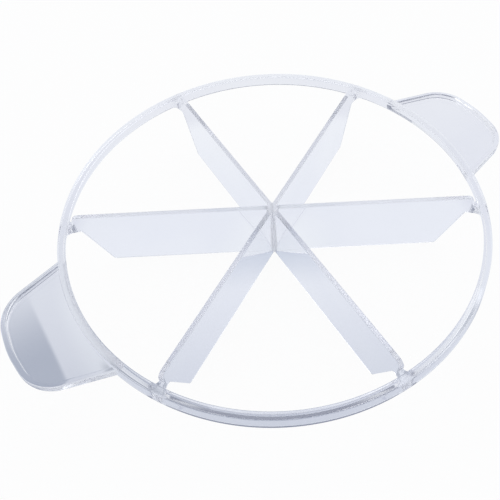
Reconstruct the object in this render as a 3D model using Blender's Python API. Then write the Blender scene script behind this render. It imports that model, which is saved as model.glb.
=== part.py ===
"""Pie slice cutter for a 9 inch pie: six tapered blades inside a hoop, with two handles, all clear plastic.

The real cutter is one moulding. It is modelled here by its members: the hub where the blades
meet, the blades, the hoop, and each handle's plate and raised border. +Z is up, +X runs through
the handles, and the origin is on the axis at the level of the blades' cutting edges.
"""

import math

import bmesh
import bpy
from mathutils import Vector

for leftover in list(bpy.data.objects):
    bpy.data.objects.remove(leftover, do_unlink=True)

# Driving sizes, in metres.
GAP = 0.0003  # parting line between neighbouring members

SLICES = 6
SEAT_HEIGHT = 0.0282  # cutting edges to the underside of the hoop, which rests on the pan's rim

RIM_RADIUS = 0.1200  # outer radius of the hoop at its top
RIM_HEIGHT = 0.0079
RIM_TOP_WIDTH = 0.0047
RIM_FOOT_WIDTH = 0.0029
RIM_LEAN = 0.0008  # how far the outer wall leans out from its top to its foot
RIM_ROUND = 0.0006

BLADE_RISE = 0.0047  # blades' top edges above the hoop's top
BLADE_TOP_THICKNESS = 0.0028
BLADE_EDGE_THICKNESS = 0.0012
BLADE_TOP_ROUND = 0.0005
BLADE_EDGE_ROUND = 0.0003

NECK_LENGTH = 0.0085  # level underside of a blade's neck, which clears the pan's wall
FOOT_SLOPE_RUN = 0.0122  # how far the sloping end of a blade reaches in below its neck
FOOT_ROUND = 0.0020
THROAT_ROUND = 0.0015
SHOULDER_ROUND = 0.0040  # roll of a blade's top edge down to its notch
NOTCH_WIDTH = 0.0030  # from a blade's shoulder to the hoop
NOTCH_DEPTH = 0.0018  # below the hoop's top
NOTCH_ROUND = 0.0005
NECK_TOP_FILLET = 0.0012
NECK_SIDE_FILLET = 0.0045

HUB_FILLET = 0.0005
HUB_STUB = 0.0010  # straight length of each hub arm past its fillets

HANDLE_LENGTH = 0.0354  # from the hoop's foot to the handle's tip
HANDLE_ROOT_WIDTH = 0.0770
HANDLE_END_WIDTH = 0.0552
HANDLE_CROWN = 0.0032  # how far the tip stands past the end corners
HANDLE_CORNER_RADIUS = 0.0220
HANDLE_TIP_RADIUS = 0.0600
PLATE_THICKNESS = 0.0024
BORDER_WIDTH = 0.0031
BORDER_HEIGHT = 0.0048
BORDER_TOP_ROUND = 0.0012
BORDER_FOOT_ROUND = 0.0003

RIM_SEGMENTS = 120
LONG_ARC_STEPS = 8
ARC_STEPS = 4
EDGE_STEPS = 2
SMOOTH_ANGLE = math.radians(30)
LEAST_STEP = 0.0001  # stations of a blade closer than this are made one

PLASTIC_COLOUR = (0.84, 0.88, 0.96, 1.0)
PLASTIC_ROUGHNESS = 0.08
PLASTIC_IOR = 1.58

# Levels and radii that follow from them.
RIM_TOP = SEAT_HEIGHT + RIM_HEIGHT
BLADE_TOP = RIM_TOP + BLADE_RISE
NECK_TOP = RIM_TOP - NOTCH_DEPTH
RIM_FOOT_RADIUS = RIM_RADIUS + RIM_LEAN
SLICE_ANGLE = 2 * math.pi / SLICES
HUB_REACH = (BLADE_TOP_THICKNESS / 2 + HUB_FILLET) / math.tan(SLICE_ANGLE / 2) + HUB_STUB


def mix(low, high, share):
    return low + (high - low) * share


def rim_outer(z):
    """Radius of the hoop's outer wall at a level."""
    return mix(RIM_FOOT_RADIUS, RIM_RADIUS, (z - SEAT_HEIGHT) / RIM_HEIGHT)


def rim_inner(z):
    """Radius of the hoop's inner wall at a level."""
    width = mix(RIM_FOOT_WIDTH, RIM_TOP_WIDTH, (z - SEAT_HEIGHT) / RIM_HEIGHT)
    return rim_outer(z) - width


def blade_half(z):
    """Half the blade's thickness at a level."""
    return mix(BLADE_EDGE_THICKNESS, BLADE_TOP_THICKNESS, z / BLADE_TOP) / 2


def rounded(corners, radii, step_counts):
    """The path through the corners, with an arc at each that has a radius and a number of steps."""
    path = []
    for i, (radius, steps) in enumerate(zip(radii, step_counts)):
        corner = Vector(corners[i])
        if steps == 0:
            path.append(corner)
            continue
        before = (Vector(corners[i - 1]) - corner).normalized()
        after = (Vector(corners[(i + 1) % len(corners)]) - corner).normalized()
        half = before.angle(after) / 2
        centre = corner + (before + after).normalized() * radius / math.sin(half)
        start = corner + before * radius / math.tan(half) - centre
        end = corner + after * radius / math.tan(half) - centre
        first = math.atan2(start.y, start.x)
        turn = (math.atan2(end.y, end.x) - first + math.pi) % (2 * math.pi) - math.pi
        for step in range(steps + 1):
            angle = first + turn * step / steps
            path.append(centre + radius * Vector((math.cos(angle), math.sin(angle))))
    return path


def height_on(path, r):
    """Level of a path of (r, z) points at a radius; the path never turns back in r."""
    if r <= path[0].x:
        return path[0].y
    for start, end in zip(path, path[1:]):
        if start.x < r <= end.x:
            return mix(start.y, end.y, (r - start.x) / (end.x - start.x))
    return path[-1].y


def loft(name, rings, closed=False):
    """A solid through rings of equally many points, capped at its ends or closed on itself."""
    shape = bmesh.new()
    loops = [[shape.verts.new(point) for point in ring] for ring in rings]
    pairs = list(zip(loops, loops[1:]))
    if closed:
        pairs.append((loops[-1], loops[0]))
    for one, other in pairs:
        for i in range(len(one)):
            shape.faces.new((one[i - 1], one[i], other[i], other[i - 1]))
    if not closed:
        shape.faces.new(loops[0][::-1])
        shape.faces.new(loops[-1])
    if shape.calc_volume(signed=True) < 0:
        bmesh.ops.reverse_faces(shape, faces=shape.faces)
    mesh = bpy.data.meshes.new(name)
    shape.to_mesh(mesh)
    shape.free()
    mesh.shade_smooth()
    mesh.set_sharp_from_angle(angle=SMOOTH_ANGLE)
    return mesh


def edge_insets(low, high, low_round, high_round):
    """Levels from low to high, with how far a rounded edge draws the side in at each."""
    angles = [math.pi / 2 * step / EDGE_STEPS for step in range(EDGE_STEPS + 1)]
    foot = [(low + low_round * (1 - math.cos(a)), low_round * (1 - math.sin(a))) for a in angles]
    head = [(high - high_round * (1 - math.sin(a)), high_round * (1 - math.cos(a))) for a in angles]
    return foot + head


def rim_mesh():
    """The hoop: a solid bar with a leaning outer wall, turned about the axis."""
    corners = [
        (rim_outer(RIM_TOP), RIM_TOP),
        (rim_inner(RIM_TOP), RIM_TOP),
        (rim_inner(SEAT_HEIGHT), SEAT_HEIGHT),
        (rim_outer(SEAT_HEIGHT), SEAT_HEIGHT),
    ]
    section = rounded(corners, [RIM_ROUND] * 4, [ARC_STEPS] * 4)
    rings = []
    for i in range(RIM_SEGMENTS):
        angle = 2 * math.pi * i / RIM_SEGMENTS
        rings.append([(p.x * math.cos(angle), p.x * math.sin(angle), p.y) for p in section])
    return loft("rim", rings, closed=True)


def blade_mesh():
    """One blade along +X: sloped foot, rolled shoulder, notch, and a neck that flares into the hoop."""
    start = HUB_REACH + GAP
    wall = rim_inner(NECK_TOP)
    neck = rim_inner(SEAT_HEIGHT) - NECK_LENGTH
    shoulder = wall - NOTCH_WIDTH
    foot_corners = [(start, 0), (neck - FOOT_SLOPE_RUN, 0), (neck, SEAT_HEIGHT), (wall, SEAT_HEIGHT)]
    underside = rounded(foot_corners, [0, FOOT_ROUND, THROAT_ROUND, 0], [0, ARC_STEPS, EDGE_STEPS, 0])
    top_corners = [
        (start, BLADE_TOP),
        (shoulder, BLADE_TOP),
        (shoulder, NECK_TOP),
        (wall, NECK_TOP),
        (wall, RIM_TOP),
    ]
    roll = min(SHOULDER_ROUND, BLADE_TOP - NECK_TOP - NOTCH_ROUND)
    top_radii = [0, roll, NOTCH_ROUND, NECK_TOP_FILLET]
    top = rounded(top_corners, top_radii, [0, LONG_ARC_STEPS, EDGE_STEPS, ARC_STEPS])

    stations = [p.x for p in underside + top]
    for step in range(ARC_STEPS + 1):
        angle = math.pi / 2 * step / ARC_STEPS
        stations.append(wall - NECK_SIDE_FILLET * (1 - math.sin(angle)))
    stations.sort(reverse=True)
    rings = []
    last = math.inf
    for r in stations:
        if last - r < LEAST_STEP:
            continue
        last = r
        into_flare = max(0, r - wall + NECK_SIDE_FILLET)
        flare = NECK_SIDE_FILLET - math.sqrt(max(0, NECK_SIDE_FILLET**2 - into_flare**2))
        share = max(0, (r - shoulder) / (wall - shoulder))
        low, high = height_on(underside, r), height_on(top, r)
        side = []
        for z, inset in edge_insets(low, high, BLADE_EDGE_ROUND, BLADE_TOP_ROUND):
            half = blade_half(z) + flare - inset
            reach = mix(r, rim_inner(z) - GAP, share) if share else r
            side.append((reach - share * half**2 / (2 * reach), half, z))
        rings.append(side + [(x, -y, z) for x, y, z in reversed(side)])
    return loft("blade", rings)


def hub_mesh():
    """The core where the blades meet: a star of short arms with fillets between them."""
    rings = []
    for z, inset in edge_insets(0, BLADE_TOP, BLADE_EDGE_ROUND, BLADE_TOP_ROUND):
        half = blade_half(z) - inset
        corners = []
        for i in range(SLICES):
            along = SLICE_ANGLE * (i + 0.5)
            arm = Vector((math.cos(along), math.sin(along)))
            across = Vector((-arm.y, arm.x))
            between = Vector((math.cos(along + SLICE_ANGLE / 2), math.sin(along + SLICE_ANGLE / 2)))
            corners.append(arm * HUB_REACH - across * half)
            corners.append(arm * HUB_REACH + across * half)
            corners.append(between * half / math.sin(SLICE_ANGLE / 2))
        star = rounded(corners, [0, 0, HUB_FILLET + inset] * SLICES, [0, 0, ARC_STEPS] * SLICES)
        rings.append([(p.x, p.y, z) for p in star])
    return loft("hub", rings)


def handle_edge(inset, wall):
    """Plan path of the handle's edge, drawn in by an inset, from the hoop's wall round to the wall."""
    root_y = HANDLE_ROOT_WIDTH / 2
    root = Vector((math.sqrt(RIM_FOOT_RADIUS**2 - root_y**2), root_y))
    tip = Vector((RIM_FOOT_RADIUS + HANDLE_LENGTH, 0))
    end = Vector((tip.x - HANDLE_CROWN, HANDLE_END_WIDTH / 2))
    side = (end - root).normalized()
    front = (tip - end).normalized()
    side_start = root + Vector((side.y, -side.x)) * inset
    front_start = end + Vector((front.y, -front.x)) * inset
    offset = front_start - side_start
    turn = side.x * front.y - side.y * front.x
    corner = side_start + side * (offset.x * front.y - offset.y * front.x) / turn
    apex = front_start - front * front_start.y / front.y
    # Where the drawn-in side line crosses the wall's circle.
    along = side_start.dot(side)
    meet = side_start + side * (math.sqrt(along**2 - side_start.length_squared + wall**2) - along)
    corners = [meet, corner, apex, Vector((corner.x, -corner.y)), Vector((meet.x, -meet.y))]
    radii = [0, HANDLE_CORNER_RADIUS - inset, HANDLE_TIP_RADIUS - inset, HANDLE_CORNER_RADIUS - inset, 0]
    return rounded(corners, radii, [0, LONG_ARC_STEPS, ARC_STEPS, LONG_ARC_STEPS, 0])


def plate_mesh():
    """A handle's plate, whose root follows the hoop's outer wall."""
    rings = []
    for z in (SEAT_HEIGHT, SEAT_HEIGHT + PLATE_THICKNESS):
        wall = rim_outer(z) + GAP
        edge = handle_edge(BORDER_WIDTH + GAP, wall)
        spread = math.asin(edge[0].y / wall)
        root = []
        for step in range(1, 2 * LONG_ARC_STEPS):
            angle = spread * (step / LONG_ARC_STEPS - 1)
            root.append(wall * Vector((math.cos(angle), math.sin(angle))))
        rings.append([(p.x, p.y, z) for p in edge + root])
    return loft("handle_plate", rings)


def border_mesh():
    """A handle's raised border: a bar with a rounded top round the plate's free edge."""
    rings = []
    top = SEAT_HEIGHT + BORDER_HEIGHT
    for z, inset in edge_insets(SEAT_HEIGHT, top, BORDER_FOOT_ROUND, BORDER_TOP_ROUND):
        wall = rim_outer(z) + GAP
        outer = handle_edge(inset, wall)
        inner = handle_edge(BORDER_WIDTH - inset, wall)
        rings.append([(p.x, p.y, z) for p in outer + inner[::-1]])
    return loft("handle_border", rings)


def clear_plastic(name):
    """Clear plastic with a faint cool tint."""
    material = bpy.data.materials.new(name + "_plastic")
    material.use_nodes = True
    material.diffuse_color = PLASTIC_COLOUR
    shader = material.node_tree.nodes["Principled BSDF"]
    shader.inputs["Base Color"].default_value = PLASTIC_COLOUR
    shader.inputs["Roughness"].default_value = PLASTIC_ROUGHNESS
    shader.inputs["Metallic"].default_value = 0.0
    shader.inputs["IOR"].default_value = PLASTIC_IOR
    shader.inputs["Transmission Weight"].default_value = 1.0
    return material


def place(name, mesh, angle=0.0):
    """An object of the cutter, turned about the axis; copies of a member share its mesh."""
    if not mesh.materials:
        mesh.materials.append(clear_plastic(mesh.name))
    member = bpy.data.objects.new(name, mesh)
    member.rotation_euler.z = angle
    member.parent = cutter
    bpy.context.scene.collection.objects.link(member)


cutter = bpy.data.objects.new("cutter", None)
bpy.context.scene.collection.objects.link(cutter)

place("rim_hoop", rim_mesh())
place("hub_core", hub_mesh())
blade = blade_mesh()
for number in range(SLICES):
    place(f"blade_{number + 1}", blade, SLICE_ANGLE * (number + 0.5))
plate, border = plate_mesh(), border_mesh()
for side_name, turned in (("right", 0.0), ("left", math.pi)):
    place(f"handle_plate_{side_name}", plate, turned)
    place(f"handle_border_{side_name}", border, turned)
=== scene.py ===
"""The looks of a clear plastic pie slice cutter: one fused moulding over its members, lit as in a studio.

All sizes are in metres. +Z is up, +X runs through the handles, and the origin is on the axis at the
level of the cutting edges.
"""

import math

import bmesh
import bpy
from mathutils import Matrix, Vector


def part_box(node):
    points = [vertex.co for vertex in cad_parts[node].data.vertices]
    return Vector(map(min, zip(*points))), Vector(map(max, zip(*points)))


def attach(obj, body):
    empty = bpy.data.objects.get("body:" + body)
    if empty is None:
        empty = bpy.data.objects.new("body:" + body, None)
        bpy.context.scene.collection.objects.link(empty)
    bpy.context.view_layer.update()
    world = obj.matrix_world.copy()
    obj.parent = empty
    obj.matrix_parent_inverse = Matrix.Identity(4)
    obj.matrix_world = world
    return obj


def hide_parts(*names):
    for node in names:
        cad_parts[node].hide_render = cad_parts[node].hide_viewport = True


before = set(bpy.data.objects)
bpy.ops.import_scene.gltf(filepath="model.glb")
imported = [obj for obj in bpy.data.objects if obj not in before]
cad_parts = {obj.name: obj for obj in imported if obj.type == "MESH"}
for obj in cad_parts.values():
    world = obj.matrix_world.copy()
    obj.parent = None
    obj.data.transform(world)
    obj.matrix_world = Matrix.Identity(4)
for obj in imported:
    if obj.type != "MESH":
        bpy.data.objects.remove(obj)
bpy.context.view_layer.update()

# Sizes read from the frame.
RIM_LOW, RIM_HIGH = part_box("rim_hoop")
SEAT_HEIGHT = RIM_LOW.z  # underside of the hoop
RIM_TOP = RIM_HIGH.z
RIM_FOOT_DRAW = 0.0001  # how far the hoop's rounded foot lies inside its corner
RIM_FOOT_RADIUS = RIM_HIGH.x + RIM_FOOT_DRAW
BLADE_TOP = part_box("hub_core")[1].z
HANDLE_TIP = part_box("handle_border_right")[1].x
HANDLE_ROOT_WIDTH = 2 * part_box("handle_border_right")[1].y
PLATE_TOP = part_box("handle_plate_right")[1].z
BORDER_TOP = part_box("handle_border_right")[1].z

# Sizes of the members' sections.
SLICES = 6
RIM_LEAN = 0.0008
RIM_TOP_WIDTH = 0.0047
RIM_FOOT_WIDTH = 0.0029
RIM_ROUND = 0.0006
BLADE_TOP_THICKNESS = 0.0028
BLADE_EDGE_THICKNESS = 0.0012
BLADE_TOP_ROUND = 0.0005
BLADE_EDGE_ROUND = 0.0003
NECK_LENGTH = 0.0085
FOOT_SLOPE_RUN = 0.0122
FOOT_ROUND = 0.0020
THROAT_ROUND = 0.0015
SHOULDER_ROUND = 0.0040
NOTCH_WIDTH = 0.0030
NOTCH_DEPTH = 0.0018
NOTCH_ROUND = 0.0005
NECK_TOP_FILLET = 0.0012
NECK_SIDE_FILLET = 0.0045
HUB_FILLET = 0.0005
HUB_STUB = 0.0010
HANDLE_END_WIDTH = 0.0552
HANDLE_CROWN = 0.0032
HANDLE_CORNER_RADIUS = 0.0220
HANDLE_TIP_RADIUS = 0.0600
HANDLE_TIP_ROUNDING = 0.0004  # how far the rounded tip lies inside its corner
BORDER_WIDTH = 0.0031
BORDER_ROUND = 0.0012
BORDER_FOOT_ROUND = 0.0004
PLATE_FILLET = 0.0008

# How the members reach into the hoop before they are fused, so that no two faces coincide.
ROOT_DEPTH = 0.0022  # how far handles and necks reach into the hoop
ROOT_LEAN = 0.1  # how much less deep a handle's inner rings reach, as a share of their inset
WALL_BITE = 0.00005  # how far a neck's end lies inside the hoop's wall
ROOT_TAPER = 0.93  # a neck's height at its root's end, as a share

# How finely the shapes are made.
RIM_SEGMENTS = 480
WIDE_ARC_STEPS = 24
ARC_STEPS = 8
EDGE_STEPS = 5
SMOOTH_ANGLE = math.radians(28)
WELD = 0.000002  # points closer than this become one
LEAST_STEP = 0.00001  # the least distance of one ring of a blade from the next

# Worked out from the sizes above.
NECK_TOP = RIM_TOP - NOTCH_DEPTH
SLICE_ANGLE = 2 * math.pi / SLICES
BLADE_ANGLES = [SLICE_ANGLE * (i + 0.5) for i in range(SLICES)]
HUB_REACH = (BLADE_TOP_THICKNESS / 2 + HUB_FILLET) / math.tan(SLICE_ANGLE / 2) + HUB_STUB

# The plastic. Colours are red, green, blue and alpha, and from here on a pair of numbers is where a
# smooth step starts and where it ends.
PLASTIC_TINT = (0.97, 0.97, 0.985, 1)
PLASTIC_PALE_TINT = (0.99, 0.99, 0.995, 1)
PLASTIC_DEPTH = (0.63, 0.64, 0.685, 1)
PLASTIC_DEPTH_DENSITY = 5.0
# The colour of a painted glow, standing in for the haze of light scattered in real plastic.
PLASTIC_PAINTED_GLOW = (0.66, 0.67, 0.72, 1)
PLASTIC_SHADE = (0.86, 0.89, 0.95, 1)  # the light that it lets through into its shadow
PLASTIC_REFRACTION = 1.58
CLOUD_SCALE = 18.0
CLOUD_DETAIL = 2.0
CLOUD_EDGE = (0.35, 0.65)
GLOSS_ROUGHNESS = 0.02
CLOUD_ROUGHNESS = 0.02  # what the flow marks add
SATIN_ROUGHNESS = 0.27  # what a satin face adds
MOST_BOUNCES = 48
PAINTED_GLOW_BOUNCES = (38, MOST_BOUNCES)  # how often light is turned back before the painted glow shows
PAINTED_GLOW_STRENGTH = 0.225
PAINTED_GLOW_CUT = 0.85  # the share of the painted glow that the blades' outer ends lack, which paints them darker
BLADE_END_INNER = (0.094, 0.097)  # from the axis
BLADE_END_OUTER = (0.111, 0.113)  # from the axis

# Where the plastic's faces are satin.
SATIN_UPWARD = (0.3, 0.5)  # how much of a face's normal points up
SATIN_BLUR = 0.001  # width of a satin face's soft border
SATIN_HUB_EDGE = (0.0032, 0.0038)  # from the axis
SATIN_BLADE_END = (0.096, 0.098)  # from the axis
SATIN_JOINT_SIDE = (0.003, 0.005)  # from a blade's middle plane

# The floor. The camera sees it white, and the plastic shows it in these colours: painted shade and light,
# darker towards the front.
FLOOR_SIZE = 8.0
FLOOR_DROP = 0.0002
FLOOR_GREY = (0.95, 0.95, 0.95, 1)
FLOOR_ROUGHNESS = 0.9
FLOOR_GLOW = 0.95  # the share of the floor that shows its colour whatever light falls on it
WHITE = (1, 1, 1, 1)
FLOOR_FRONT = (0.55, 0.59, 0.69, 1)
FLOOR_MIDDLE = (0.83, 0.86, 0.935, 1)
FLOOR_BACK = (0.93, 0.95, 0.98, 1)
FLOOR_OUTER = (0.90, 0.90, 0.925, 1)  # painted shade outside the hoop
FLOOR_LEFT = (0.94, 0.945, 0.94, 1)  # painted shade under the left handle
FLOOR_HUB = (0.77, 0.80, 0.85, 1)  # painted shadow on the camera's side of the hub
FLOOR_BEHIND = (0.90, 0.93, 0.97, 1)  # painted light behind the hub
FLOOR_RING = (0.52, 0.54, 0.58, 1)  # painted shadow under the hoop's near side
FLOOR_CONTACT = (0.80, 0.80, 0.85, 1)  # painted contact shadow under the cutting edges
FLOOR_PAINTED_SHADE = (0.36, 0.40, 0.50, 1)  # painted shade, in a spot at the front and in a patch that the left handle's plate shows

# Distances from the axis along the way the camera looks.
VIEW_AZIMUTH = 60.5  # degrees: the way the camera looks, seen from above
FRONT_TO_MIDDLE = (-0.16, 0.0)
MIDDLE_TO_BACK = (0.0, 0.2)
HUB_SHADE_FRONT = (-0.030, 0.0)
HUB_SHADE_BACK = (-0.001, 0.0005)
BEHIND_FRONT = (-0.0005, 0.001)

# Distances from the axis all round.
OUTER_EDGE = (0.120, 0.135)
HUB_SHADE_END = (0.030, 0.050)
BEHIND_END = (0.012, 0.045)
CONTACT_END = (0.095, 0.110)

# Distances from the axis along -X, and for the patch's back edge along -Y.
LEFT_EDGE = (0.090, 0.115)
PATCH_RIGHT = (0.1375, 0.1405)
PATCH_LEFT = (0.2, 0.3)
PATCH_BACK = (-0.065, -0.005)

# Distances from other places.
CONTACT_SIDE = (0.0003, 0.0012)  # from a blade's middle plane
SPOT_CENTRE = (-0.105, -0.157, 0)
SPOT_EDGE = (0.02, 0.06)
RING_CENTRE = (0.003, -0.006, 0)
RING_INNER = (0.109, 0.112)
RING_OUTER = (0.121, 0.125)
RING_AZIMUTH = 247  # degrees
RING_END = (0.055, 0.066)  # from the axis towards that azimuth

# The sky. Angles are in degrees. Rise, foot and head are heights on a unit sphere, and the edges and the
# side are cosines of the angle to a direction.
SKY_LOW = (0.86, 0.88, 0.92, 1)
SKY_TOP = (0.70, 0.73, 0.80, 1)
SKY_RISE = (0.2, 0.9)
SKY_FAR = (0.90, 0.92, 0.96, 1)  # beyond the object
FAR_ELEVATION = 50
FAR_EDGE = (0.6, 0.9)
SKY_DARK = (0.24, 0.26, 0.34, 1)  # behind the camera, and in a wide band below that
NEAR_ELEVATION = 45
NEAR_EDGE = (0.64, 0.80)
BAND_AZIMUTH = 252
BAND_FOOT = (0.34, 0.46)
BAND_HEAD = (0.58, 0.70)
BAND_SIDE = (0.25, 0.45)

# The lamp, nearly overhead.
LAMP_PLACE = (0.4, 0.3, 1.35)
LAMP_SIZE = 0.7
LAMP_POWER = 1.8

# The photograph's camera. Angles are in degrees, places in hoop radii, and the lens in the frame's pixels.
CAMERA_AZIMUTH = -29.5501
CAMERA_ELEVATION = 54.579
CAMERA_ROLL = -3.2274
CAMERA_DISTANCE = 3.1245
CAMERA_RIGHT = -0.0237
CAMERA_UP = -0.0026
HOOP_RADIUS = 0.12
FRAME_PIXELS = 500
FOCAL_PIXELS = 614.5841
CENTRE_PIXEL = 269.6795
SENSOR_WIDTH = 36  # millimetres
CLIP_START = 0.01


def mix(low, high, share):
    return low + (high - low) * share


def rim_outer(z):
    return mix(RIM_FOOT_RADIUS, RIM_FOOT_RADIUS - RIM_LEAN, (z - SEAT_HEIGHT) / (RIM_TOP - SEAT_HEIGHT))


def rim_inner(z):
    width = mix(RIM_FOOT_WIDTH, RIM_TOP_WIDTH, (z - SEAT_HEIGHT) / (RIM_TOP - SEAT_HEIGHT))
    return rim_outer(z) - width


def blade_half(z):
    """Half the blade's thickness at a level."""
    return mix(BLADE_EDGE_THICKNESS, BLADE_TOP_THICKNESS, z / BLADE_TOP) / 2


def rounded(corners, radii, step_counts):
    """The path through the corners, with an arc at each that has a radius and a number of steps."""
    path = []
    for i, (radius, steps) in enumerate(zip(radii, step_counts)):
        corner = Vector(corners[i])
        if steps == 0:
            path.append(corner)
            continue
        before = (Vector(corners[i - 1]) - corner).normalized()
        after = (Vector(corners[(i + 1) % len(corners)]) - corner).normalized()
        half = before.angle(after) / 2
        centre = corner + (before + after).normalized() * radius / math.sin(half)
        start = corner + before * radius / math.tan(half) - centre
        end = corner + after * radius / math.tan(half) - centre
        first = math.atan2(start.y, start.x)
        turn = (math.atan2(end.y, end.x) - first + math.pi) % (2 * math.pi) - math.pi
        for step in range(steps + 1):
            angle = first + turn * step / steps
            path.append(centre + radius * Vector((math.cos(angle), math.sin(angle))))
    return path


def height_on(path, r):
    """Level of a path of (r, z) points at a radius; the path never turns back in r."""
    if r <= path[0].x:
        return path[0].y
    for start, end in zip(path, path[1:]):
        if start.x < r <= end.x:
            return mix(start.y, end.y, (r - start.x) / (end.x - start.x))
    return path[-1].y


def quarter_arc(steps):
    return [math.pi / 2 * step / steps for step in range(steps + 1)]


def edge_insets(low, high, low_round, high_round):
    """Levels from low to high, with how far a rounded edge draws the side in at each."""
    angles = quarter_arc(EDGE_STEPS)
    foot = [(low + low_round * (1 - math.cos(a)), low_round * (1 - math.sin(a))) for a in angles]
    head = [(high - high_round * (1 - math.sin(a)), high_round * (1 - math.cos(a))) for a in angles]
    return foot + head


def add_loft(shape, rings, start_cap=True, closed=False, open_sides=()):
    """Adds faces through rings of equally many points. Sides whose index is in open_sides stay open.

    A closed loft runs round to its first ring. Another one has a cap at its end, and at its start if asked.
    """
    loops = [[shape.verts.new(point) for point in ring] for ring in rings]
    pairs = list(zip(loops, loops[1:]))
    if closed:
        pairs.append((loops[-1], loops[0]))
    for one, other in pairs:
        for i in range(len(one)):
            if i not in open_sides:
                shape.faces.new((one[i - 1], one[i], other[i], other[i - 1]))
    if start_cap and not closed:
        shape.faces.new(loops[0][::-1])
    if not closed:
        shape.faces.new(loops[-1])


def to_object(name, shape):
    """A closed mesh object with its faces turned outwards."""
    bmesh.ops.remove_doubles(shape, verts=shape.verts, dist=WELD)
    bmesh.ops.recalc_face_normals(shape, faces=shape.faces)
    if shape.calc_volume(signed=True) < 0:
        bmesh.ops.reverse_faces(shape, faces=shape.faces)
    mesh = bpy.data.meshes.new(name)
    shape.to_mesh(mesh)
    shape.free()
    made = bpy.data.objects.new(name, mesh)
    bpy.context.scene.collection.objects.link(made)
    return made


def turned(point, angle):
    x, y, z = point
    return (x * math.cos(angle) - y * math.sin(angle), x * math.sin(angle) + y * math.cos(angle), z)


def make_hoop():
    """The hoop: a solid bar with a leaning outer wall, turned about the axis."""
    corners = [
        (rim_outer(RIM_TOP), RIM_TOP),
        (rim_inner(RIM_TOP), RIM_TOP),
        (rim_inner(SEAT_HEIGHT), SEAT_HEIGHT),
        (rim_outer(SEAT_HEIGHT), SEAT_HEIGHT),
    ]
    section = rounded(corners, [RIM_ROUND] * len(corners), [ARC_STEPS] * len(corners))
    rings = []
    for i in range(RIM_SEGMENTS):
        angle = 2 * math.pi * i / RIM_SEGMENTS
        rings.append([turned((p.x, 0, p.y), angle) for p in section])
    shape = bmesh.new()
    add_loft(shape, rings, closed=True)
    return to_object("hoop", shape)


def blade_rings():
    """Rings along one blade on +X, from the hub's arm out into the hoop."""
    wall = rim_inner(NECK_TOP)
    neck = rim_inner(SEAT_HEIGHT) - NECK_LENGTH
    shoulder = wall - NOTCH_WIDTH
    foot_corners = [(HUB_REACH, 0), (neck - FOOT_SLOPE_RUN, 0), (neck, SEAT_HEIGHT), (wall, SEAT_HEIGHT)]
    underside = rounded(foot_corners, [0, FOOT_ROUND, THROAT_ROUND, 0], [0, ARC_STEPS, ARC_STEPS, 0])
    top_corners = [
        (HUB_REACH, BLADE_TOP),
        (shoulder, BLADE_TOP),
        (shoulder, NECK_TOP),
        (wall, NECK_TOP),
        (wall, RIM_TOP),
    ]
    top_radii = [0, SHOULDER_ROUND, NOTCH_ROUND, NECK_TOP_FILLET]
    top = rounded(top_corners, top_radii, [0, WIDE_ARC_STEPS, EDGE_STEPS, ARC_STEPS])
    stations = [p.x for p in underside + top]
    stations += [wall - NECK_SIDE_FILLET * (1 - math.sin(a)) for a in quarter_arc(ARC_STEPS)]
    stations.sort()
    rings = []
    last = 0
    for r in stations:
        if r - last < LEAST_STEP:
            continue
        last = r
        into_flare = max(0, r - wall + NECK_SIDE_FILLET)
        flare = NECK_SIDE_FILLET - math.sqrt(max(0, NECK_SIDE_FILLET**2 - into_flare**2))
        share = max(0, (r - shoulder) / (wall - shoulder))
        low, high = height_on(underside, r), height_on(top, r)
        side = []
        # Towards the hoop each ring leans and bends as the hoop's inner wall does.
        for z, inset in edge_insets(low, high, BLADE_EDGE_ROUND, BLADE_TOP_ROUND):
            half = blade_half(z) + flare - inset
            reach = mix(r, rim_inner(z), share)
            side.append((reach - share * half**2 / (2 * reach), half, z))
        rings.append(side + [(x, -y, z) for x, y, z in reversed(side)])
    end = [(x + WALL_BITE, y, z) for x, y, z in rings[-1]]
    middle = (SEAT_HEIGHT + RIM_TOP) / 2
    root = [(x + ROOT_DEPTH, y, mix(middle, z, ROOT_TAPER)) for x, y, z in end]
    return rings[:-1] + [end, root]


def make_star():
    """The six blades and the hub where they meet, with fillets between the hub's arms."""
    shape = bmesh.new()
    rings = []
    for z, inset in edge_insets(0, BLADE_TOP, BLADE_EDGE_ROUND, BLADE_TOP_ROUND):
        half = blade_half(z) - inset
        corners = []
        for along in BLADE_ANGLES:
            arm = Vector((math.cos(along), math.sin(along)))
            across = Vector((-arm.y, arm.x))
            between = Vector((math.cos(along + SLICE_ANGLE / 2), math.sin(along + SLICE_ANGLE / 2)))
            corners.append(arm * HUB_REACH - across * half)
            corners.append(arm * HUB_REACH + across * half)
            corners.append(between * half / math.sin(SLICE_ANGLE / 2))
        star = rounded(corners, [0, 0, HUB_FILLET + inset] * SLICES, [0, 0, ARC_STEPS] * SLICES)
        rings.append([(p.x, p.y, z) for p in star])
    arm_points = 2 + ARC_STEPS + 1  # the corners of an arm's end, and the fillet beside it
    arm_ends = [1 + arm_points * i for i in range(SLICES)]
    add_loft(shape, rings, open_sides=arm_ends)
    blade = blade_rings()
    for angle in BLADE_ANGLES:
        add_loft(shape, [[turned(p, angle) for p in ring] for ring in blade], start_cap=False)
    return to_object("star", shape)


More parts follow.
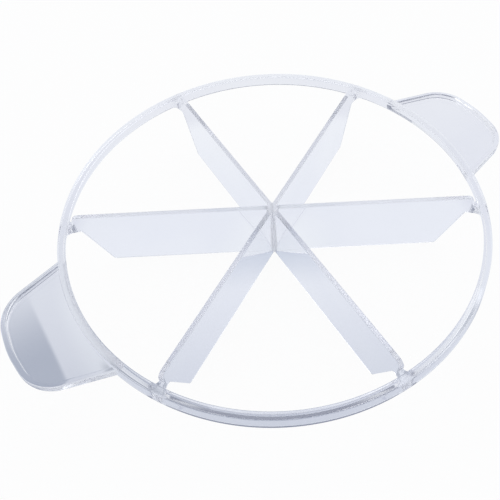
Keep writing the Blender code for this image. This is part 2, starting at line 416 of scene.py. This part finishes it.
def handle_edge(inset, wall):
    """Plan path of the handle's edge, drawn in by an inset, from inside the hoop round and back."""
    root_y = HANDLE_ROOT_WIDTH / 2
    root = Vector((math.sqrt(RIM_FOOT_RADIUS**2 - root_y**2), root_y))
    tip = Vector((HANDLE_TIP + HANDLE_TIP_ROUNDING, 0))
    end = Vector((tip.x - HANDLE_CROWN, HANDLE_END_WIDTH / 2))
    side = (end - root).normalized()
    front = (tip - end).normalized()
    side_start = root + Vector((side.y, -side.x)) * inset
    front_start = end + Vector((front.y, -front.x)) * inset
    offset = front_start - side_start
    turn = side.x * front.y - side.y * front.x
    corner = side_start + side * (offset.x * front.y - offset.y * front.x) / turn
    apex = front_start - front * front_start.y / front.y
    along = side_start.dot(side)
    meet = side_start + side * (math.sqrt(along**2 - side_start.length_squared + wall**2) - along)
    corners = [meet, corner, apex, Vector((corner.x, -corner.y)), Vector((meet.x, -meet.y))]
    radii = [0, HANDLE_CORNER_RADIUS - inset, HANDLE_TIP_RADIUS - inset, HANDLE_CORNER_RADIUS - inset, 0]
    return rounded(corners, radii, [0, WIDE_ARC_STEPS, ARC_STEPS, WIDE_ARC_STEPS, 0])


def make_handle(name, angle):
    """A handle: a plate inside a raised border with a rounded top and a fillet at its foot."""
    profile = []
    for a in quarter_arc(EDGE_STEPS):
        inset = BORDER_FOOT_ROUND * (1 - math.sin(a))
        profile.append((inset, SEAT_HEIGHT + BORDER_FOOT_ROUND * (1 - math.cos(a))))
    for a in quarter_arc(ARC_STEPS):
        inset = BORDER_ROUND * (1 - math.cos(a))
        profile.append((inset, BORDER_TOP - BORDER_ROUND * (1 - math.sin(a))))
    for a in quarter_arc(ARC_STEPS):
        inset = BORDER_WIDTH - BORDER_ROUND * (1 - math.sin(a))
        profile.append((inset, BORDER_TOP - BORDER_ROUND * (1 - math.cos(a))))
    for a in quarter_arc(EDGE_STEPS):
        inset = BORDER_WIDTH + PLATE_FILLET * (1 - math.cos(a))
        profile.append((inset, PLATE_TOP + PLATE_FILLET * (1 - math.sin(a))))
    rings = []
    for inset, z in profile:
        wall = RIM_FOOT_RADIUS - ROOT_DEPTH + ROOT_LEAN * inset
        edge = handle_edge(inset, wall)
        spread = math.asin(edge[0].y / wall)
        root = []
        for step in range(1, 2 * WIDE_ARC_STEPS):
            angle_in = spread * (step / WIDE_ARC_STEPS - 1)
            root.append(wall * Vector((math.cos(angle_in), math.sin(angle_in))))
        rings.append([turned((p.x, p.y, z), angle) for p in edge + root])
    shape = bmesh.new()
    add_loft(shape, rings)
    return to_object(name, shape)


def fuse(name, members):
    """One closed object from overlapping closed members."""
    base = members[0]
    for member in members[1:]:
        union = base.modifiers.new(member.name, "BOOLEAN")
        union.operation = "UNION"
        union.solver = "EXACT"
        union.object = member
    bpy.context.view_layer.update()
    evaluated = base.evaluated_get(bpy.context.evaluated_depsgraph_get())
    mesh = bpy.data.meshes.new_from_object(evaluated)
    for member in members:
        bpy.data.objects.remove(member, do_unlink=True)
    mesh.name = name
    fused = bpy.data.objects.new(name, mesh)
    bpy.context.scene.collection.objects.link(fused)
    mesh.shade_smooth()
    mesh.set_sharp_from_angle(angle=SMOOTH_ANGLE)
    normals = fused.modifiers.new("even_normals", "WEIGHTED_NORMAL")
    normals.keep_sharp = True
    return fused


class NodeTree:
    """Short hands for building a node tree."""

    def __init__(self, owner):
        owner.use_nodes = True
        self.nodes, self.links = owner.node_tree.nodes, owner.node_tree.links

    def feed(self, socket, value):
        """Sets a socket to a value, or links it from another socket."""
        if isinstance(value, bpy.types.NodeSocket):
            self.links.new(value, socket)
        else:
            socket.default_value = value

    def maths(self, operation, one, other=0.0):
        node = self.nodes.new("ShaderNodeMath")
        node.operation = operation
        self.feed(node.inputs[0], one)
        self.feed(node.inputs[1], other)
        return node.outputs[0]

    def times(self, one, other):
        return self.maths("MULTIPLY", one, other)

    def step(self, value, edge):
        """A smooth step from 0 at the edge's start to 1 at its end."""
        node = self.nodes.new("ShaderNodeMapRange")
        node.interpolation_type = "SMOOTHSTEP"
        self.feed(node.inputs["Value"], value)
        self.feed(node.inputs["From Min"], edge[0])
        self.feed(node.inputs["From Max"], edge[1])
        return node.outputs["Result"]

    def fall(self, value, edge):
        """A smooth step from 1 at the edge's start to 0 at its end."""
        return self.maths("SUBTRACT", 1.0, self.step(value, edge))

    def between(self, value, start, end):
        """1 between two edges, with a smooth step at each."""
        return self.maths("SUBTRACT", self.step(value, start), self.step(value, end))

    def vector_maths(self, operation, one, other):
        node = self.nodes.new("ShaderNodeVectorMath")
        node.operation = operation
        self.feed(node.inputs[0], one)
        self.feed(node.inputs[1], other)
        return node.outputs

    def dot(self, vector, towards):
        return self.vector_maths("DOT_PRODUCT", vector, towards)["Value"]

    def distance(self, point, centre):
        return self.vector_maths("DISTANCE", point, centre)["Value"]

    def blend(self, factor, one, other, blend_type="MIX"):
        """A colour between two colours. The node's colour sockets are inputs 6 and 7, and output 2."""
        node = self.nodes.new("ShaderNodeMix")
        node.data_type = "RGBA"
        node.blend_type = blend_type
        self.feed(node.inputs[0], factor)
        self.feed(node.inputs[6], one)
        self.feed(node.inputs[7], other)
        return node.outputs[2]

    def darken(self, factor, colour, tint):
        """A colour, multiplied by a tint as far as the factor says."""
        return self.blend(factor, colour, tint, "MULTIPLY")

    def mix_shaders(self, factor, one, other):
        node = self.nodes.new("ShaderNodeMixShader")
        self.feed(node.inputs[0], factor)
        self.links.new(one, node.inputs[1])
        self.links.new(other, node.inputs[2])
        return node.outputs[0]


def direction(azimuth, elevation):
    """The unit vector at an azimuth and an elevation in degrees."""
    azimuth, elevation = math.radians(azimuth), math.radians(elevation)
    level = math.cos(elevation)
    return (level * math.cos(azimuth), level * math.sin(azimuth), math.sin(elevation))


def reach_of(tree, place):
    """Distance of a place from the cutter's axis."""
    level_place = tree.vector_maths("MULTIPLY", place, (1, 1, 0))["Vector"]
    return tree.distance(level_place, (0, 0, 0))


def off_blade(tree, place, angle):
    """Distance of a place from the middle plane of the blades at an angle."""
    return tree.maths("ABSOLUTE", tree.dot(place, turned((0, 1, 0), angle)))


def blade_ends(tree):
    """1 in the outer ends of the blades, over the sloped foot and most of the neck."""
    reach = reach_of(tree, tree.nodes.new("ShaderNodeNewGeometry").outputs["Position"])
    return tree.between(reach, BLADE_END_INNER, BLADE_END_OUTER)


def satin_places(tree):
    """1 on the satin faces: the hub, the blades' upper edges inside their ends, and the hoop's joints.

    The joints are the stretches of the hoop's top where a blade or a handle joins it.
    """
    surface = tree.nodes.new("ShaderNodeNewGeometry")
    place, normal = surface.outputs["Position"], surface.outputs["Normal"]
    level = tree.dot(place, (0, 0, 1))
    reach = reach_of(tree, place)
    upward = tree.step(tree.dot(normal, (0, 0, 1)), SATIN_UPWARD)

    edges = tree.times(upward, tree.step(level, (RIM_TOP, RIM_TOP + SATIN_BLUR)))
    edges = tree.times(edges, tree.fall(reach, SATIN_BLADE_END))

    off_handles = tree.maths("ABSOLUTE", tree.dot(place, (0, 1, 0)))
    joints = tree.maths("LESS_THAN", off_handles, HANDLE_ROOT_WIDTH / 2)
    for angle in BLADE_ANGLES[: SLICES // 2]:
        joints = tree.maths("MAXIMUM", joints, tree.fall(off_blade(tree, place, angle), SATIN_JOINT_SIDE))
    on_hoop = tree.step(reach, (rim_inner(RIM_TOP) - SATIN_BLUR, rim_inner(RIM_TOP)))
    joints = tree.times(joints, tree.times(upward, on_hoop))
    joints = tree.times(joints, tree.step(level, (RIM_TOP - 2 * SATIN_BLUR, RIM_TOP - SATIN_BLUR)))

    hub = tree.fall(reach, SATIN_HUB_EDGE)
    return tree.maths("MAXIMUM", hub, tree.maths("MAXIMUM", edges, joints))


def clear_plastic():
    """Clear plastic with a cool tint, faint flow marks in its gloss, and satin faces.

    Its colour deepens along long paths. Where light is turned back very often it glows: a painted glow that
    stands in for the faint haze of scattered light.
    """
    material = bpy.data.materials.new("clear_plastic")
    tree = NodeTree(material)
    shader = tree.nodes["Principled BSDF"]
    shader.inputs["Transmission Weight"].default_value = 1.0
    shader.inputs["IOR"].default_value = PLASTIC_REFRACTION
    shader.inputs["Metallic"].default_value = 0.0

    cloud = tree.nodes.new("ShaderNodeTexNoise")
    cloud.inputs["Scale"].default_value = CLOUD_SCALE
    cloud.inputs["Detail"].default_value = CLOUD_DETAIL
    tree.feed(cloud.inputs["Vector"], tree.nodes.new("ShaderNodeTexCoord").outputs["Object"])
    tint = tree.blend(tree.step(cloud.outputs["Fac"], CLOUD_EDGE), PLASTIC_TINT, PLASTIC_PALE_TINT)
    tree.feed(shader.inputs["Base Color"], tint)
    roughness = tree.maths("ADD", tree.times(cloud.outputs["Fac"], CLOUD_ROUGHNESS), GLOSS_ROUGHNESS)
    roughness = tree.maths("ADD", roughness, tree.times(satin_places(tree), SATIN_ROUGHNESS))
    tree.feed(shader.inputs["Roughness"], roughness)

    # Painted glow: the plastic emits light on paths that are turned back very often.
    path = tree.nodes.new("ShaderNodeLightPath")
    # Less painted glow in the blades' outer ends paints them darker.
    kept = tree.maths("SUBTRACT", 1.0, tree.times(blade_ends(tree), PAINTED_GLOW_CUT))
    painted_glow = tree.times(tree.step(path.outputs["Ray Depth"], PAINTED_GLOW_BOUNCES), kept)
    tree.feed(shader.inputs["Emission Strength"], tree.times(painted_glow, PAINTED_GLOW_STRENGTH))
    shader.inputs["Emission Color"].default_value = PLASTIC_PAINTED_GLOW

    depth = tree.nodes.new("ShaderNodeVolumeAbsorption")
    depth.inputs["Color"].default_value = PLASTIC_DEPTH
    depth.inputs["Density"].default_value = PLASTIC_DEPTH_DENSITY

    pass_light = tree.nodes.new("ShaderNodeBsdfTransparent")
    pass_light.inputs["Color"].default_value = PLASTIC_SHADE
    output = tree.nodes["Material Output"]
    surface = tree.mix_shaders(path.outputs["Is Shadow Ray"], shader.outputs[0], pass_light.outputs[0])
    tree.feed(output.inputs["Surface"], surface)
    tree.feed(output.inputs["Volume"], depth.outputs[0])
    return material


def floor_shade(tree):
    """The floor's colour as the plastic shows it: painted shade and light, painted contact shadows and
    painted dark patches.
    """
    place = tree.nodes.new("ShaderNodeNewGeometry").outputs["Position"]
    along = tree.dot(place, direction(VIEW_AZIMUTH, 0))
    leftward = tree.dot(place, (-1, 0, 0))
    reach = tree.distance(place, (0, 0, 0))

    # Painted shade: the floor as the plastic shows it grows darker towards the front.
    shade = tree.blend(tree.step(along, FRONT_TO_MIDDLE), FLOOR_FRONT, FLOOR_MIDDLE)
    shade = tree.blend(tree.step(along, MIDDLE_TO_BACK), shade, FLOOR_BACK)
    # Painted shade outside the hoop.
    shade = tree.darken(tree.step(reach, OUTER_EDGE), shade, FLOOR_OUTER)
    # Painted shade under the left handle.
    shade = tree.darken(tree.step(leftward, LEFT_EDGE), shade, FLOOR_LEFT)

    # A painted shadow on the camera's side of the hub.
    before = tree.between(along, HUB_SHADE_FRONT, HUB_SHADE_BACK)
    shade = tree.darken(tree.times(before, tree.fall(reach, HUB_SHADE_END)), shade, FLOOR_HUB)
    # Painted light: the floor behind the hub is lighter.
    shade = tree.blend(
        tree.maths("SUBTRACT", tree.step(along, BEHIND_FRONT), tree.step(reach, BEHIND_END)),
        shade,
        FLOOR_BEHIND,
    )

    # A painted shadow under the hoop's near side.
    ring = tree.between(tree.distance(place, RING_CENTRE), RING_INNER, RING_OUTER)
    near_side = tree.step(tree.dot(place, direction(RING_AZIMUTH, 0)), RING_END)
    shade = tree.darken(tree.times(ring, near_side), shade, FLOOR_RING)

    # Painted contact shadows under the cutting edges.
    under = 0.0
    for angle in BLADE_ANGLES[: SLICES // 2]:
        under = tree.maths("MAXIMUM", under, tree.fall(off_blade(tree, place, angle), CONTACT_SIDE))
    shade = tree.darken(tree.times(under, tree.fall(reach, CONTACT_END)), shade, FLOOR_CONTACT)

    # Painted shade in a spot at the front, and in a patch that the left handle's plate shows.
    spot = tree.fall(tree.distance(place, SPOT_CENTRE), SPOT_EDGE)
    shade = tree.blend(spot, shade, FLOOR_PAINTED_SHADE)
    patch = tree.times(tree.step(leftward, PATCH_RIGHT), tree.step(tree.dot(place, (0, -1, 0)), PATCH_BACK))
    patch = tree.times(patch, tree.fall(leftward, PATCH_LEFT))
    return tree.blend(patch, shade, FLOOR_PAINTED_SHADE)


def make_floor():
    """A white floor that keeps a soft share of the shadow. In the plastic it shows painted shade, painted
    shadows and painted light.
    """
    bpy.ops.mesh.primitive_plane_add(size=FLOOR_SIZE, location=(0, 0, -FLOOR_DROP))
    floor = bpy.context.object
    floor.name = "floor"
    material = bpy.data.materials.new("floor_white")
    tree = NodeTree(material)
    shader = tree.nodes["Principled BSDF"]
    shader.inputs["Base Color"].default_value = FLOOR_GREY
    shader.inputs["Roughness"].default_value = FLOOR_ROUGHNESS

    glow = tree.nodes.new("ShaderNodeEmission")
    path = tree.nodes.new("ShaderNodeLightPath").outputs
    tree.feed(glow.inputs["Color"], tree.blend(path["Is Camera Ray"], floor_shade(tree), WHITE))
    seen = tree.maths("MAXIMUM", path["Is Camera Ray"], path["Is Glossy Ray"])
    seen = tree.maths("MAXIMUM", seen, path["Is Transmission Ray"])
    surface = tree.mix_shaders(tree.times(seen, FLOOR_GLOW), shader.outputs[0], glow.outputs[0])
    tree.feed(tree.nodes["Material Output"].inputs["Surface"], surface)
    floor.data.materials.append(material)


def make_world():
    """Studio surroundings: pale low down, bright at the far side and dark behind the camera."""
    world = bpy.data.worlds.new("studio")
    bpy.context.scene.world = world
    tree = NodeTree(world)
    place = tree.nodes.new("ShaderNodeTexCoord").outputs["Generated"]
    height = tree.dot(place, (0, 0, 1))
    shade = tree.blend(tree.step(height, SKY_RISE), SKY_LOW, SKY_TOP)
    far = tree.step(tree.dot(place, direction(VIEW_AZIMUTH, FAR_ELEVATION)), FAR_EDGE)
    shade = tree.blend(far, shade, SKY_FAR)
    near = tree.step(tree.dot(place, direction(VIEW_AZIMUTH + 180, NEAR_ELEVATION)), NEAR_EDGE)
    shade = tree.blend(near, shade, SKY_DARK)
    band = tree.between(height, BAND_FOOT, BAND_HEAD)
    band = tree.times(band, tree.step(tree.dot(place, direction(BAND_AZIMUTH, 0)), BAND_SIDE))
    shade = tree.blend(band, shade, SKY_DARK)
    path = tree.nodes.new("ShaderNodeLightPath")
    shade = tree.blend(path.outputs["Is Camera Ray"], shade, WHITE)
    tree.feed(tree.nodes["Background"].inputs["Color"], shade)


def make_lamp():
    """A soft square lamp, turned to the origin."""
    lamp = bpy.data.lights.new("key", "AREA")
    lamp.shape = "RECTANGLE"
    lamp.size = LAMP_SIZE
    lamp.size_y = LAMP_SIZE
    lamp.energy = LAMP_POWER
    holder = bpy.data.objects.new("key", lamp)
    bpy.context.scene.collection.objects.link(holder)
    holder.location = LAMP_PLACE
    holder.rotation_euler = (-Vector(LAMP_PLACE)).to_track_quat("-Z", "Y").to_euler()


def make_camera():
    """The photograph's camera."""
    azimuth, elevation, roll = (math.radians(a) for a in (CAMERA_AZIMUTH, CAMERA_ELEVATION, CAMERA_ROLL))
    back = Vector(
        (
            math.sin(azimuth) * math.cos(elevation),
            -math.cos(azimuth) * math.cos(elevation),
            math.sin(elevation),
        )
    )
    level = Vector((0, 0, 1)).cross(back).normalized()
    upright = back.cross(level)
    right = level * math.cos(roll) + upright * math.sin(roll)
    up = upright * math.cos(roll) - level * math.sin(roll)
    lens = bpy.data.cameras.new("camera")
    lens.sensor_width = SENSOR_WIDTH
    lens.lens = FOCAL_PIXELS / FRAME_PIXELS * SENSOR_WIDTH
    lens.shift_x = (FRAME_PIXELS / 2 - CENTRE_PIXEL) / FRAME_PIXELS
    lens.clip_start = CLIP_START
    camera = bpy.data.objects.new("camera", lens)
    bpy.context.scene.collection.objects.link(camera)
    pose = Matrix((right, up, back)).transposed().to_4x4()
    pose.translation = (back * CAMERA_DISTANCE + right * CAMERA_RIGHT + up * CAMERA_UP) * HOOP_RADIUS
    camera.matrix_world = pose
    bpy.context.scene.camera = camera


def let_light_through():
    """Light in clear plastic is turned back many times by its walls before it gets out."""
    cycles = bpy.context.scene.cycles
    cycles.max_bounces = MOST_BOUNCES
    cycles.glossy_bounces = MOST_BOUNCES
    cycles.transmission_bounces = MOST_BOUNCES


let_light_through()
make_camera()
make_floor()
make_world()
make_lamp()

moulding = fuse(
    "moulding", [make_hoop(), make_star(), make_handle("right", 0.0), make_handle("left", math.pi)]
)
moulding.data.materials.clear()
moulding.data.materials.append(clear_plastic())
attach(moulding, "root")
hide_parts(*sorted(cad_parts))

bpy.context.scene.view_settings.view_transform = "Standard"
